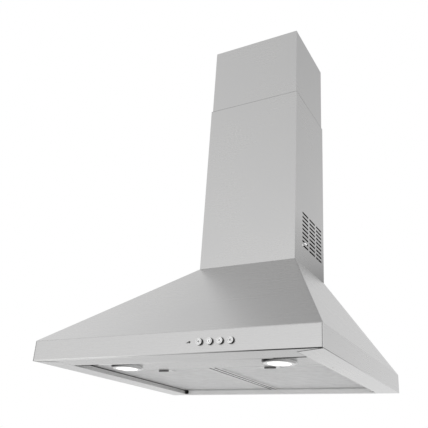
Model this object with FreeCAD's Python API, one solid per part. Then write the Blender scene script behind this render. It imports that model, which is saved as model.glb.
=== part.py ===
import FreeCAD, Part
import math
import os

os.makedirs("parts", exist_ok=True)
V = FreeCAD.Vector

# ---------------------------------------------------------------------------
# Driving dimensions, millimetres. Heights below are counted from the rim's
# bottom edge; HANG_Z moves everything so that the origin lies on the wall
# plane, in the middle of the two upper hanging slots.
# ---------------------------------------------------------------------------
W = 598.0            # canopy width
D = 520.0            # canopy depth, wall to front
BAND = 40.0          # height of the vertical band
CAN_TOP = 274.0      # top of the pyramid
CH_W = 251.0         # lower chimney cover, width
CH_D = 200.5         # lower chimney cover, depth
SEAM = 732.0         # top edge of the lower cover
TOP = 930.0          # top edge of the upper cover at rest
UP_LEN = 430.0       # length of the upper cover
T = 1.0              # sheet thickness
TELE = 1.5           # clearance between the two covers
HANG_Z = 388.0       # height of the upper hanging slots
HANG_DX = 140.0      # spacing of the hanging slots
LOW_Z = 96.0         # height of the lower fixing holes
BACK_TOP = 500.0     # top edge of the rear panel inside the chimney
UP_BACK = 1.5        # gap behind the upper cover
FLANGE = 50.0        # width of the side rim flanges
FL_FRONT = 20.0      # depth of the rim at the front mitre
FL_REAR = 17.0       # depth of the rear rim flange
RET = 68.0           # depth of the fascia's bottom return
PANEL_Z = 9.5        # height of the recessed underside panel
FILT_F = -328.5      # filter front edge
FILT_R = -19.5       # filter rear edge
FILT_IN = 7.6        # filter inner side
FILT_OUT = 246.5     # filter outer side
FILT_T = 9.0         # filter thickness
HINGE_Y = -24.0      # filter drop axis, centre of the frame's rounded rear edge
HINGE_Z = 14.0
KNOB_Z = 6.8         # underside of the latch knob
LAMP_X = 170.0
LAMP_Y = -385.0
LAMP_R = 32.5        # bezel radius on the panel
LENS_R = 22.0
BTN_Z = 19.5
BTN_X = (80.0, 100.0, 120.0, 140.0)
LED_X = 60.0
BTN_R = 5.9
FAN_Y = -132.0       # impeller axis
FAN_Z = 145.0
WHEEL_R = 80.0
WHEEL_HW = 48.0      # half width of the wheel
BOX_HW = 62.0        # half width of the blower housing
COLLAR_Y = -95.0
COLLAR_R = 74.5      # outer radius of the duct spigot
COLLAR_Z0 = 320.0
COLLAR_H = 62.0
VENT_COLS = ((-154.5, -114.5), (-106.0, -66.0), (-57.5, -17.5))
VENT_ROWS = 9
VENT_Z0 = CAN_TOP + 50.0
VENT_PITCH = 10.5
VENT_H = 4.8


# ---------------------------------------------------------------------------
# helpers
# ---------------------------------------------------------------------------
def box(x0, y0, z0, x1, y1, z1):
    return Part.makeBox(x1 - x0, y1 - y0, z1 - z0, V(x0, y0, z0))


def cyl(r, h, p, d=(0, 0, 1)):
    return Part.makeCylinder(r, h, V(*p), V(*d))


def ring(ro, ri, h, p, d=(0, 0, 1)):
    return cyl(ro, h, p, d).cut(cyl(ri, h, p, d))


def face(pts):
    return Part.Face(Part.makePolygon([V(*p) for p in pts] + [V(*pts[0])]))


def prism_z(xy, z0, z1):
    return face([(x, y, z0) for x, y in xy]).extrude(V(0, 0, z1 - z0))


def prism_x(yz, x0, x1):
    return face([(x0, y, z) for y, z in yz]).extrude(V(x1 - x0, 0, 0))


def prism_y(xz, y0, y1):
    return face([(x, y0, z) for x, z in xz]).extrude(V(0, y1 - y0, 0))


def fuse(shapes):
    s = shapes[0].multiFuse(list(shapes[1:])) if len(shapes) > 1 else shapes[0]
    return s.removeSplitter()


def mirror_x(s):
    return s.mirror(V(0, 0, 0), V(1, 0, 0))


def fillet_if(s, r, test):
    es = [e for e in s.Edges if test(e)]
    return s.makeFillet(r, es) if es else s


def ends(e):
    a, b = e.Vertexes[0].Point, e.Vertexes[-1].Point
    return a, b


def poly_loft(a, b):
    """frustum between two rectangles (x0, y0, x1, y1, z)"""
    def pts(r):
        x0, y0, x1, y1, z = r
        return [V(x0, y0, z), V(x1, y0, z), V(x1, y1, z), V(x0, y1, z)]
    pa, pb = pts(a), pts(b)
    faces = [Part.Face(Part.makePolygon(pa + [pa[0]])), Part.Face(Part.makePolygon(pb + [pb[0]]))]
    for i in range(4):
        j = (i + 1) % 4
        faces.append(Part.Face(Part.makePolygon([pa[i], pa[j], pb[j], pb[i], pa[i]])))
    return Part.makeSolid(Part.makeShell(faces))


def tube(points, r, bend):
    """round tube along straight runs joined by tangent arcs of radius bend"""
    P = [V(*p) for p in points]
    edges, start = [], P[0]
    for i in range(1, len(P) - 1):
        u = (P[i] - P[i - 1]).normalize()
        w = (P[i + 1] - P[i]).normalize()
        turn = math.acos(max(-1.0, min(1.0, u.dot(w))))
        t = bend * math.tan(turn / 2.0)
        a, b = P[i] - u * t, P[i] + w * t
        m = (w - u).normalize()
        c = P[i] + m * (bend / math.cos(turn / 2.0))
        mid = c - m * bend
        edges.append(Part.LineSegment(start, a).toShape())
        edges.append(Part.Arc(a, mid, b).toShape())
        start = b
    edges.append(Part.LineSegment(start, P[-1]).toShape())
    path = Part.Wire(edges)
    d = (P[1] - P[0]).normalize()
    prof = Part.Wire(Part.makeCircle(r, P[0], d))
    s = path.makePipeShell([prof], True, False)
    if s.Volume < 0:
        s.reverse()
    return s


def screw(p, d, head_r=3.4, head_h=2.2, shank_r=1.6, length=8.0):
    """pan-head screw: p is under the head, d points from head to tip"""
    d = V(*d).normalize()
    p = V(*p)
    head = Part.makeCylinder(head_r, head_h, p - d * head_h, d)
    try:
        es = [e for e in head.Edges if isinstance(e.Curve, Part.Circle) and (e.Curve.Center - (p - d * head_h)).Length < 1e-6]
        head = head.makeFillet(min(head_h, head_r) * 0.45, es)
    except Exception:
        pass
    cross = Part.makeBox(head_r * 1.1, head_r * 0.28, head_h * 0.55, V(-head_r * 0.55, -head_r * 0.14, 0))
    cross = cross.fuse(Part.makeBox(head_r * 0.28, head_r * 1.1, head_h * 0.55, V(-head_r * 0.14, -head_r * 0.55, 0)))
    cross.Placement = FreeCAD.Placement(p - d * head_h, FreeCAD.Rotation(V(0, 0, 1), d))
    head = head.cut(cross)
    return head.fuse(Part.makeCylinder(shank_r, length, p, d))


done = []


def export(name, shape):
    if isinstance(shape, (list, tuple)):
        shape = Part.makeCompound(list(shape))
    shape = shape.copy()
    shape.translate(V(0, 0, -HANG_Z))
    bad = [s for s in shape.Solids if not s.isValid() or s.Volume <= 0]
    print("%-24s solids %d volume %.1f cm3%s" % (name, len(shape.Solids), shape.Volume / 1000.0, "  BAD" if bad or not shape.Solids else ""))
    shape.exportStep("parts/%s.step" % name)
    done.append(name)


hw = W / 2.0
cw = CH_W / 2.0


# ---------------------------------------------------------------------------
# canopy shell: side bands, pyramid, rim flanges, top flange
# ---------------------------------------------------------------------------
frustum = poly_loft((-hw, -D, hw, 0, BAND), (-cw, -CH_D, cw, 0, CAN_TOP))
outer = box(-hw, -D, 0, hw, 0, BAND).fuse(frustum).removeSplitter()


def bend_edge(e):
    a, b = ends(e)
    if abs(a.z - BAND) < 1e-6 and abs(b.z - BAND) < 1e-6 and not (abs(a.y) < 1e-6 and abs(b.y) < 1e-6):
        return True
    if min(a.z, b.z) > BAND - 1e-6 and abs(a.z - b.z) > 100 and a.y < -100 and b.y < -100:
        return True
    return False


outer = fillet_if(outer, 1.6, bend_edge)

rise = CAN_TOP - BAND
ins_f = T / math.sin(math.atan2(rise, D - CH_D))
ins_s = T / math.sin(math.atan2(rise, hw - cw))


def slope_x(z):
    return hw - (z - BAND) * (hw - cw) / rise


def slope_y(z):
    return -(D - (z - BAND) * (D - CH_D) / rise)


zt = CAN_TOP - T
inner = poly_loft((-(hw - ins_s), -(D - ins_f), hw - ins_s, 2.0, BAND),
                  (-(slope_x(zt) - ins_s), slope_y(zt) + ins_f, slope_x(zt) - ins_s, 2.0, zt))
inner_band = box(-(hw - T), -(D - T), T, hw - T, 2.0, BAND + 0.01)
front_open = box(-(hw - T), -D - 2, -1.0, hw - T, -(D - T) + 0.5, BAND - 1.0)
mouth = prism_z([(-(hw - FLANGE), -FL_REAR), (hw - FLANGE, -FL_REAR), (hw - FLANGE, -(D - FL_FRONT)), (hw + 1, -D - 0.4),
                 (hw + 1, -D - 3), (-hw - 1, -D - 3), (-hw - 1, -D - 0.4), (-(hw - FLANGE), -(D - FL_FRONT))], -1.0, T + 0.01)
top_open = box(-108, -186, CAN_TOP - 5, 108, 2.0, CAN_TOP + 5).fuse(box(-111.4, -1.6, CAN_TOP - 5, 111.4, 2.0, CAN_TOP + 5))
shell = outer.cut(inner).cut(inner_band).cut(front_open).cut(mouth).cut(top_open)
# upturned lips along the rim flanges, with open corners at the rear
lip_l = box(-(hw - FLANGE) - T, -(D - FL_FRONT) + 1, 0.5, -(hw - FLANGE), -24, PANEL_Z - 0.3)
lip_r = mirror_x(lip_l)
lip_b = box(-243, -FL_REAR, 0.5, 243, -FL_REAR + T, 8.5)
# flange hanging behind the fascia's upper edge
nose = box(-292, -D + 1.1, 28.0, 292, -D + 2.1, BAND - 0.2).fuse(box(-292, -D + 0.5, BAND - 0.95, 292, -D + 2.1, BAND + 0.3))
shell = fuse([shell, lip_l, lip_r, lip_b, nose])
# small holes for the lamp panel's feet, the fascia's end tabs and the blower plate
for sx in (-1, 1):
    for y in (-470.0, -350.0):
        shell = shell.cut(cyl(1.7, 4, (sx * 259.0, y, -1)))
for x, y in ((-113, -170), (113, -170), (-113, -40), (113, -40)):
    shell = shell.cut(cyl(1.7, 6, (x, y, CAN_TOP - 3)))
export("canopy_shell", shell)

# ---------------------------------------------------------------------------
# front fascia: face, wide bottom return with mitred ends, hem, end tabs
# ---------------------------------------------------------------------------
fx = hw - T - 0.8
fas = box(-fx, -D, 0, fx, -D + T, BAND - 1.1).fuse(box(-fx, -D, 0, fx, -(D - RET), T)).removeSplitter()
fas = fillet_if(fas, 1.5, lambda e: abs(ends(e)[0].y + D) < 1e-6 and abs(ends(e)[1].y + D) < 1e-6 and abs(ends(e)[0].z) < 1e-6 and abs(ends(e)[1].z) < 1e-6)
fas = fas.fuse(box(-(hw - FLANGE) + 0.6, -(D - RET) - T, 0.5, (hw - FLANGE) - 0.6, -(D - RET), 4.0))
for s in (-1, 1):
    cutp = [(s * (fx + 2), -D - 0.5), (s * (hw - FLANGE - 0.6), -(D - FL_FRONT) - 0.2), (s * (hw - FLANGE - 0.6), -400), (s * (fx + 2), -400)]
    fas = fas.cut(prism_z(cutp, -1, 12).cut(box(-400, -D - 1, -2, 400, -D + T, 20)))
    xa, xb = sorted((s * fx, s * (fx - T)))
    fas = fas.fuse(box(xa, -D + 0.5, 3.0, xb, -D + 14, 26))
fas = fas.removeSplitter()
for x in BTN_X:
    fas = fas.cut(cyl(BTN_R + 0.35, 4, (x, -D - 1, BTN_Z), (0, 1, 0)))
fas = fas.cut(cyl(1.9, 4, (LED_X, -D - 1, BTN_Z + 0.5), (0, 1, 0)))
export("front_fascia", fas)

# ---------------------------------------------------------------------------
# rear panel: back of the canopy, rising inside the chimney
# ---------------------------------------------------------------------------
z1 = CAN_TOP - T - 0.5
rp = prism_y([(-(hw - T - 0.15), T + 0.05), (hw - T - 0.15, T + 0.05), (hw - T - 0.15, BAND - 0.5),
              (slope_x(z1) - ins_s - 0.25, z1), (111.1, z1), (111.1, BACK_TOP), (-111.1, BACK_TOP), (-111.1, z1),
              (-(slope_x(z1) - ins_s - 0.25), z1), (-(hw - T - 0.15), BAND - 0.5)], -1.2, 0.0)


def slot_y(x, z, r, length, y0=-3.0, h=6.0):
    k = length / 2.0 - r
    return fuse([cyl(r, h, (x - k, y0, z), (0, 1, 0)), cyl(r, h, (x + k, y0, z), (0, 1, 0)), box(x - k, y0, z - r, x + k, y0 + h, z + r)])


for s in (-1, 1):
    rp = rp.cut(slot_y(s * HANG_DX / 2, HANG_Z, 4.0, 24.0))
    rp = rp.cut(cyl(3.0, 6, (s * HANG_DX / 2, -3, LOW_Z), (0, 1, 0)))
# stiffening beads pressed forward, and the cable inlet hole
rp = rp.cut(cyl(10.05, 6, (215.0, -3, 76.0), (0, 1, 0)))
for x0, x1, z0 in ((-160.0, -40.0, 52.0), (40.0, 160.0, 52.0), (-50.0, 50.0, 172.0)):
    bead = box(x0, -3.2, z0, x1, -1.1, z0 + 7.0)
    bead = fillet_if(bead, 1.6, lambda e: abs(ends(e)[0].y + 3.2) < 1e-6 and abs(ends(e)[1].y + 3.2) < 1e-6)
    rp = rp.fuse(bead)
rp = rp.removeSplitter()
for s in (-1, 1):
    rp = rp.cut(cyl(1.7, 6, (s * 90.0, -4, 293.0), (0, 1, 0)))
export("rear_panel", rp)

# ---------------------------------------------------------------------------
# lamp panel: raised underside strip with feet on the side flanges
# ---------------------------------------------------------------------------
PY0, PY1 = -480.0, -330.2
lp = box(-253, PY0, PANEL_Z, 253, PY1, PANEL_Z + T)
lp = lp.fuse(box(-253, PY0, PANEL_Z, 253, PY0 + T, PANEL_Z + 12))
lp = lp.fuse(box(-253, PY1 - T, PANEL_Z, 253, PY1, PANEL_Z + 12.5))
for s in (-1, 1):
    xa, xb = sorted((s * 252, s * 253))
    lp = lp.fuse(box(xa, PY0, T, xb, PY1, PANEL_Z + T))
    xa, xb = sorted((s * 252, s * 266))
    lp = lp.fuse(box(xa, PY0, T, xb, PY1, 2 * T))
lp = lp.removeSplitter()
for s in (-1, 1):
    lp = lp.cut(cyl(27.0, 6, (s * LAMP_X, LAMP_Y, PANEL_Z - 2)))
    lp = lp.cut(box(s * 123.0 - 4.6, PY1 - 3, 11.4, s * 123.0 + 4.6, PY1 + 1, 16.2))
    for y in (-470.0, -350.0):
        lp = lp.cut(cyl(1.7, 4, (s * 259.0, y, 0.5)))
export("lamp_panel", lp)

# ---------------------------------------------------------------------------
# divider bar between the two filters
# ---------------------------------------------------------------------------
db = box(-6.5, PY1, PANEL_Z, 6.5, -17.6, PANEL_Z + T)
for s in (-1, 1):
    xa, xb = sorted((s * 5.5, s * 6.5))
    db = db.fuse(box(xa, PY1, PANEL_Z, xb, -17.6, 20.0))
db = db.fuse(box(-6.5, -17.6, 8.5, 6.5, -8.0, PANEL_Z + T)).removeSplitter()
export("filter_divider_bar", db)

# ---------------------------------------------------------------------------
# filters, latches and springs (right-hand set, mirrored for the left)
# ---------------------------------------------------------------------------
FZ0, FZ1 = PANEL_Z, PANEL_Z + FILT_T
fr = box(FILT_IN, FILT_F, FZ0, FILT_OUT, FILT_R, FZ1)
fr = fillet_if(fr, 2.0, lambda e: abs(ends(e)[0].z - ends(e)[1].z) > 5)
fr = fr.common(box(0, FILT_F - 1, FZ0 - 1, 300, HINGE_Y, FZ1 + 1).fuse(cyl(FILT_T / 2, 300, (0, HINGE_Y, HINGE_Z), (1, 0, 0))))
fr = fr.cut(box(FILT_IN + 1, FILT_F + 1, FZ0 + 0.9, FILT_OUT - 1, HINGE_Y, FZ1 - 0.9).fuse(cyl(FILT_T / 2 - 0.9, FILT_OUT - FILT_IN - 2, (FILT_IN + 1, HINGE_Y, HINGE_Z), (1, 0, 0))))
fr = fr.cut(box(FILT_IN + 7, FILT_F + 7, FZ0 - 1, FILT_OUT - 7, FILT_R - 7, FZ1 + 1))
LX = 123.0
fr = fr.fuse(box(LX - 19, FILT_F + 0.9, FZ0, LX + 19, FILT_F + 26, FZ0 + 0.9)).removeSplitter()
fr = fr.cut(box(LX - 4.5, FILT_F - 1, 11.5, LX + 4.5, FILT_F + 2, 16.1))
fr = fr.cut(box(LX - 3.4, FILT_F + 5.5, FZ0 - 1, LX + 3.4, FILT_F + 16.6, FZ0 + 2))
# pocket walls that guide the latch bolt and back the spring
fr = fr.fuse(box(LX - 6.0, FILT_F + 24.0, FZ0 + 0.5, LX + 6.0, FILT_F + 25.0, 16.6))
for s in (-1, 1):
    xa, xb = sorted((LX + s * 5.0, LX + s * 6.0))
    fr = fr.fuse(box(xa, FILT_F + 4.0, FZ0 + 0.5, xb, FILT_F + 25.0, 16.6))
fr = fr.removeSplitter()

mesh_layers = []
for z in (FZ0 + 1.0, FZ0 + 3.9, FZ0 + 6.8):
    l = box(FILT_IN + 1.6, FILT_F + 1.6, z, FILT_OUT - 1.6, HINGE_Y - 0.2, z + 0.7)
    l = l.cut(box(LX - 19.5, FILT_F, z - 1, LX + 19.5, FILT_F + 27, z + 2))
    mesh_layers.append(l)

# latch: low oval knob, neck through the plate, bolt on top, rod that carries the spring
ky0, ky1 = FILT_F + 4.6, FILT_F + 13.4
kc = (ky0 + ky1) / 2.0
kr = (ky1 - ky0) / 2.0
oval = Part.Ellipse(V(LX, kc, KNOB_Z), 12.4, kr).toShape()
knob = Part.Face(Part.Wire([oval])).extrude(V(0, 0, 9.2 - KNOB_Z))
knob = fillet_if(knob, 1.0, lambda e: all(abs(v.Point.z - KNOB_Z) < 1e-6 for v in e.Vertexes))
knob = fuse([knob, box(LX - 2.9, FILT_F + 6.0, 9.0, LX + 2.9, FILT_F + 10.0, 12.4),
             box(LX - 3.9, FILT_F - 5.2, 12.0, LX + 3.9, FILT_F + 12.0, 15.6),
             cyl(1.0, 5.0, (LX, FILT_F + 12.0, 13.8), (0, 1, 0))])
spring = ring(2.2, 1.3, 11.9, (LX, FILT_F + 12.05, 13.8), (0, 1, 0))
for k in range(5):
    spring = spring.cut(ring(2.6, 1.9, 1.1, (LX, FILT_F + 12.95 + k * 2.2, 13.8), (0, 1, 0)))

for side, f in (("right", lambda s: s), ("left", mirror_x)):
    export("filter_frame_" + side, f(fr))
    export("filter_mesh_" + side, [f(l) for l in mesh_layers])
    export("filter_latch_" + side, f(knob))
    export("latch_spring_" + side, f(spring))

# ---------------------------------------------------------------------------
# lamps (right-hand set, mirrored for the left)
# ---------------------------------------------------------------------------
LZ = 3.0


def revolved(segs):
    """closed profile of lines and arcs in (radius, height), turned about the lamp's axis"""
    es = []
    for g in segs:
        q = [V(LAMP_X + r, LAMP_Y, z) for r, z in g]
        es.append(Part.LineSegment(q[0], q[1]).toShape() if len(q) == 2 else Part.Arc(q[0], q[1], q[2]).toShape())
    s = Part.Face(Part.Wire(es)).revolve(V(LAMP_X, LAMP_Y, 0), V(0, 0, 1), 360)
    return s


bz = revolved([((LENS_R + 0.3, LZ), (LAMP_R - 4.0, LZ)), ((LAMP_R - 4.0, LZ), (LAMP_R - 1.1, LZ + 1.5), (LAMP_R, LZ + 4.6)),
               ((LAMP_R, LZ + 4.6), (LAMP_R, PANEL_Z)), ((LAMP_R, PANEL_Z), (26.7, PANEL_Z)), ((26.7, PANEL_Z), (26.7, 21.0)),
               ((26.7, 21.0), (25.2, 21.0)), ((25.2, 21.0), (25.2, 7.4)), ((25.2, 7.4), (20.6, 7.4)), ((20.6, 7.4), (20.6, 5.6)),
               ((20.6, 5.6), (LENS_R + 0.3, 5.6)), ((LENS_R + 0.3, 5.6), (LENS_R + 0.3, LZ))])


def ball(r, z):
    """sphere on the lamp's axis, its poles and seam kept away from the bottom"""
    q = Part.makeSphere(r)
    q.rotate(V(0, 0, 0), V(0, 1, 0), -90)
    q.translate(V(LAMP_X, LAMP_Y, z))
    return q


# slightly domed lens: 2.6 mm of bulge outside, hollowed from above
lens = cyl(LENS_R, 4.7, (LAMP_X, LAMP_Y, 0.8)).common(ball(94.38, 95.18)).cut(ball(71.8, 74.4))
can = cyl(24.9, 30, (LAMP_X, LAMP_Y, 10.0)).cut(cyl(23.4, 27, (LAMP_X, LAMP_Y, 9.0)))
for k in range(5):
    can = can.fuse(ring(24.9, 16.0, 1.6, (LAMP_X, LAMP_Y, 40.0 + 3.4 * k)).fuse(cyl(16.4, 3.4, (LAMP_X, LAMP_Y, 40.0 + 3.4 * k - 1.8 + 1.8))))
can = can.cut(cyl(3.0, 40, (LAMP_X, LAMP_Y, 34.0))).removeSplitter()
led_board = ring(22.8, 2.0, 1.6, (LAMP_X, LAMP_Y, 34.4))
for k in range(8):
    a = math.pi * k / 4
    led_board = led_board.fuse(box(LAMP_X + 14 * math.cos(a) - 1.7, LAMP_Y + 14 * math.sin(a) - 1.7, 33.4, LAMP_X + 14 * math.cos(a) + 1.7, LAMP_Y + 14 * math.sin(a) + 1.7, 34.5))
led_board = led_board.removeSplitter()
for side, f in (("right", lambda s: s), ("left", mirror_x)):
    export("lamp_bezel_" + side, f(bz))
    export("lamp_lens_" + side, f(lens))
    export("lamp_body_" + side, f(can))
    export("lamp_led_board_" + side, f(led_board))

# ---------------------------------------------------------------------------
# controls
# ---------------------------------------------------------------------------
for name, x in zip(("light_button", "low_speed_button", "medium_speed_button", "high_speed_button"), BTN_X):
    b = cyl(BTN_R, 15.0, (x, -D - 4.2, BTN_Z), (0, 1, 0))
    b = fillet_if(b, 0.7, lambda e: isinstance(e.Curve, Part.Circle) and abs(e.Curve.Center.y + D + 4.2) < 1e-6)
    b = b.cut(ring(4.5, 3.7, 1.0, (x, -D - 4.7, BTN_Z), (0, 1, 0)))
    b = b.fuse(cyl(2.2, 6.0, (x, -D + 10.5, BTN_Z), (0, 1, 0)))
    export(name, b)
ind = cyl(1.75, 5.5, (LED_X, -D - 0.9, BTN_Z + 0.5), (0, 1, 0))
ind = fillet_if(ind, 0.7, lambda e: isinstance(e.Curve, Part.Circle) and abs(e.Curve.Center.y + D + 0.9) < 1e-6)
export("indicator_lens", ind)
sb = box(48, -D + 2.6, 7.0, 154, -D + 27.0, 33.0).cut(box(50, -D + 4.6, 9.0, 152, -D + 28.0, 31.0))
for x in BTN_X:
    sb = sb.cut(cyl(BTN_R + 0.35, 4, (x, -D + 1.6, BTN_Z), (0, 1, 0)))
sb = sb.cut(cyl(1.9, 4, (LED_X, -D + 1.6, BTN_Z + 0.5), (0, 1, 0)))
for x in (44.0, 158.0):
    xa, xb = (x - 6, 49) if x < 100 else (153, x + 6)
    sb = sb.fuse(box(xa, -D + T, 15.0, xb, -D + 5.0, 25.0)).cut(cyl(1.7, 6, (x, -D + 0.5, BTN_Z), (0, 1, 0)))
sb = sb.removeSplitter()
export("switch_block", sb)
cb = box(50.3, -D + 24.6, 9.3, 151.7, -D + 26.2, 30.7)
for x in BTN_X:
    cb = cb.fuse(box(x - 3.2, -D + 19.6, BTN_Z - 3.2, x + 3.2, -D + 24.8, BTN_Z + 3.2))
cb = cb.fuse(box(90, -D + 26.1, 23.5, 112, -D + 33.0, 30.5)).removeSplitter()
export("control_board", cb)

# ---------------------------------------------------------------------------
# blower housing: scroll with an upward outlet, split at the middle
# ---------------------------------------------------------------------------
PHI0, R0, R1 = 65.0, 87.0, 112.0


def scroll_pt(phi, off):
    r = R0 + (R1 - R0) * (phi - PHI0) / (360.0 - PHI0) + off
    a = math.radians(phi)
    return (FAN_Y + r * math.cos(a), FAN_Z + r * math.sin(a))


def scroll_face(off, x, ztop):
    """off 0: outer surface, off -2.2: inner surface"""
    n = 24
    pts = [scroll_pt(PHI0 + (360.0 - PHI0) * k / n, off) for k in range(n + 1)]
    sp = Part.BSplineCurve()
    sp.interpolate([V(x, y, z) for y, z in pts])
    y0, z0 = pts[0]
    y1, z1_ = pts[-1]
    i = -off
    a = (y1, ztop)
    b = (-160.0 + i, ztop)
    c = (-160.0 + i, 270.0 + i * 0.6)
    # nose of the tongue
    path = [(y1, z1_), a, b, c, (y0, z0 + 1.5 + i * 0.6), (y0, z0)]
    edges = [sp.toShape()]
    for (p, q) in zip(path[:-1], path[1:]):
        edges.append(Part.makeLine(V(x, *p), V(x, *q)))
    return Part.Face(Part.Wire(Part.__sortEdges__(edges)))


ext = scroll_face(0.0, -BOX_HW, COLLAR_Z0).extrude(V(2 * BOX_HW, 0, 0))
inn = scroll_face(-2.2, -BOX_HW + 2.2, COLLAR_Z0 + 5).extrude(V(2 * (BOX_HW - 2.2), 0, 0))
hous = ext.cut(inn)
hous = hous.cut(cyl(62.0, 200, (-100, FAN_Y, FAN_Z), (1, 0, 0)))
# bell-mouth rims round both inlets
for s in (-1, 1):
    hous = hous.fuse(ring(66.0, 62.0, 4.0, (s * BOX_HW if s > 0 else -BOX_HW - 4.0, FAN_Y, FAN_Z), (1, 0, 0)))
# hanging rim above the support plate and head rim under the collar
hous = hous.fuse(box(-74, -172, 276.0, 74, -8, 279.0).cut(box(-59.8, -157.8, 270, 59.8, -22.2, 290)))
hous = hous.fuse(box(-70, -168, 317.0, 70, -12, COLLAR_Z0).cut(box(-59.8, -157.8, 300, 59.8, -22.2, 330)))
# joining flange round the split
hous = hous.removeSplitter()
tabs = []
for phi in (110, 160, 210, 260, 310):
    y, z = scroll_pt(phi, 4.0)
    tabs.append((y, z))
    hous = hous.fuse(cyl(5.0, 12.0, (-6.0, y, z), (1, 0, 0)))
hous = hous.cut(scroll_face(-2.2, -40, COLLAR_Z0 + 5).extrude(V(80, 0, 0)))
for y, z in tabs:
    hous = hous.cut(cyl(1.7, 30.0, (-15.0, y, z), (1, 0, 0)))
for x in (-64.0, 64.0):
    for y in (-162.0, -28.0):
        hous = hous.cut(cyl(1.7, 10, (x, y, 312)))
mount_pts = []
for k in range(3):
    a = math.radians(120 * k)
    mount_pts.append((FAN_Y - 70.2 * math.sin(a), FAN_Z + 70.2 * math.cos(a)))
for y, z in mount_pts:
    hous = hous.cut(cyl(1.7, 20, (55, y, z), (1, 0, 0)))
hous = hous.removeSplitter()
right_half = hous.common(box(0, -400, 0, 200, 50, 500))
left_half = hous.common(box(-200, -400, 0, 0, 50, 500))
export("blower_housing_right", right_half)
export("blower_housing_left", left_half)

# impeller: hub disc, two rows of forward-curved blades, end rings, hub boss
wheel = ring(WHEEL_R - 1.0, 4.06, 2.0, (-1.0, FAN_Y, FAN_Z), (1, 0, 0))
wheel = wheel.fuse(ring(12.0, 4.06, 16.0, (-14.0, FAN_Y, FAN_Z), (1, 0, 0)))
for s in (-1, 1):
    wheel = wheel.fuse(ring(WHEEL_R, 68.0, 2.0, (s * WHEEL_HW - (2.0 if s > 0 else 0.0), FAN_Y, FAN_Z), (1, 0, 0)))
blades = []
NB = 36
for k in range(NB):
    a = 2 * math.pi * k / NB
    b = Part.makeBox(2 * WHEEL_HW - 2.0, 11.2, 1.0, V(-WHEEL_HW + 1.0, -5.6, -0.5))
    b.rotate(V(0, 0, 0), V(1, 0, 0), 28)
    b.translate(V(0, 73.6, 0))
    b.rotate(V(0, 0, 0), V(1, 0, 0), math.degrees(a))
    b.translate(V(0, FAN_Y, FAN_Z))
    blades.append(b)
wheel = wheel.multiFuse(blades)
export("impeller_wheel", wheel)
shaft = cyl(4.0, 78.0, (-16.0, FAN_Y, FAN_Z), (1, 0, 0))
export("motor_shaft", shaft)
motor = cyl(44.0, 52.0, (14.0, FAN_Y, FAN_Z), (1, 0, 0))
motor = fillet_if(motor, 5.0, lambda e: isinstance(e.Curve, Part.Circle))
motor = motor.fuse(cyl(14.0, 4.0, (10.5, FAN_Y, FAN_Z), (1, 0, 0)))
motor = motor.cut(cyl(4.05, 60.0, (5.0, FAN_Y, FAN_Z), (1, 0, 0)))
for k in range(8):
    a = 2 * math.pi * (k + 0.5) / 8
    motor = motor.cut(box(62.0, -3, -10, 70, 3, 10).translated(V(0, 0, 30)).rotated(V(0, 0, 0), V(1, 0, 0), math.degrees(a)).translated(V(0, FAN_Y, FAN_Z)))
export("motor_body", motor)
mm = ring(74.0, 66.5, 3.0, (BOX_HW, FAN_Y, FAN_Z), (1, 0, 0))
mm = mm.fuse(ring(24.0, 8.0, 2.0, (66.0, FAN_Y, FAN_Z), (1, 0, 0)))
for k in range(3):
    a = math.radians(90 + 120 * k)
    arm = box(66.0, -7, 18, 68.0, 7, 72)
    foot = box(62.0, -7, 66.6, 68.0, 7, 73.0)
    arm = arm.fuse(foot)
    arm.rotate(V(0, 0, 0), V(1, 0, 0), math.degrees(a) - 90)
    arm.translate(V(0, FAN_Y, FAN_Z))
    mm = mm.fuse(arm)
mm = mm.removeSplitter()
for y, z in mount_pts:
    mm = mm.cut(cyl(1.7, 20, (55, y, z), (1, 0, 0)))
export("motor_mount", mm)

# support plate on the canopy's top flange
sp_ = box(-119, -194, CAN_TOP, 119, -6, CAN_TOP + 1.6).cut(box(-62.3, -162.4, 270, 62.3, -19.6, 290))
for s in (-1, 1):
    xa, xb = sorted((s * 119, s * 117.4))
    sp_ = sp_.fuse(box(xa, -190, CAN_TOP, xb, -60, CAN_TOP + 14))
for x, y in ((-113, -170), (113, -170), (-113, -40), (113, -40)):
    sp_ = sp_.cut(cyl(1.7, 6, (x, y, CAN_TOP - 3)))
sp_ = sp_.removeSplitter()
export("blower_support_plate", sp_)

# outlet collar with its base plate, stop ledge, flaps and pin
PIN_Z = COLLAR_Z0 + 13.0
cz = COLLAR_Z0
col = box(-80, -172, cz, 80, -18, cz + 3.0).cut(cyl(COLLAR_R - 2.5, 20, (0, COLLAR_Y, cz - 5)))
col = col.fuse(ring(COLLAR_R, COLLAR_R - 2.5, COLLAR_H, (0, COLLAR_Y, cz), (0, 0, 1)))
col = col.fuse(ring(COLLAR_R - 2.0, COLLAR_R - 6.0, 2.0, (0, COLLAR_Y, PIN_Z - 4.2), (0, 0, 1)).cut(box(-90, COLLAR_Y - 4, 0, 90, COLLAR_Y + 4, 500)))
col = fillet_if(col, 6.0, lambda e: abs(ends(e)[0].z - ends(e)[1].z) > 2.9 and abs(ends(e)[0].z - ends(e)[1].z) < 3.1 and abs(abs(ends(e)[0].x) - 80) < 1e-6)
col = col.cut(cyl(2.0, 200, (-100, COLLAR_Y, PIN_Z), (1, 0, 0)))
for x in (-64.0, 64.0):
    for y in (-162.0, -28.0):
        col = col.cut(cyl(1.7, 10, (x, y, cz - 3)))
export("outlet_collar", col)
pin = cyl(1.98, 2 * COLLAR_R - 0.6, (-COLLAR_R + 0.3, COLLAR_Y, PIN_Z), (1, 0, 0))
export("damper_pin", pin)


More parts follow.
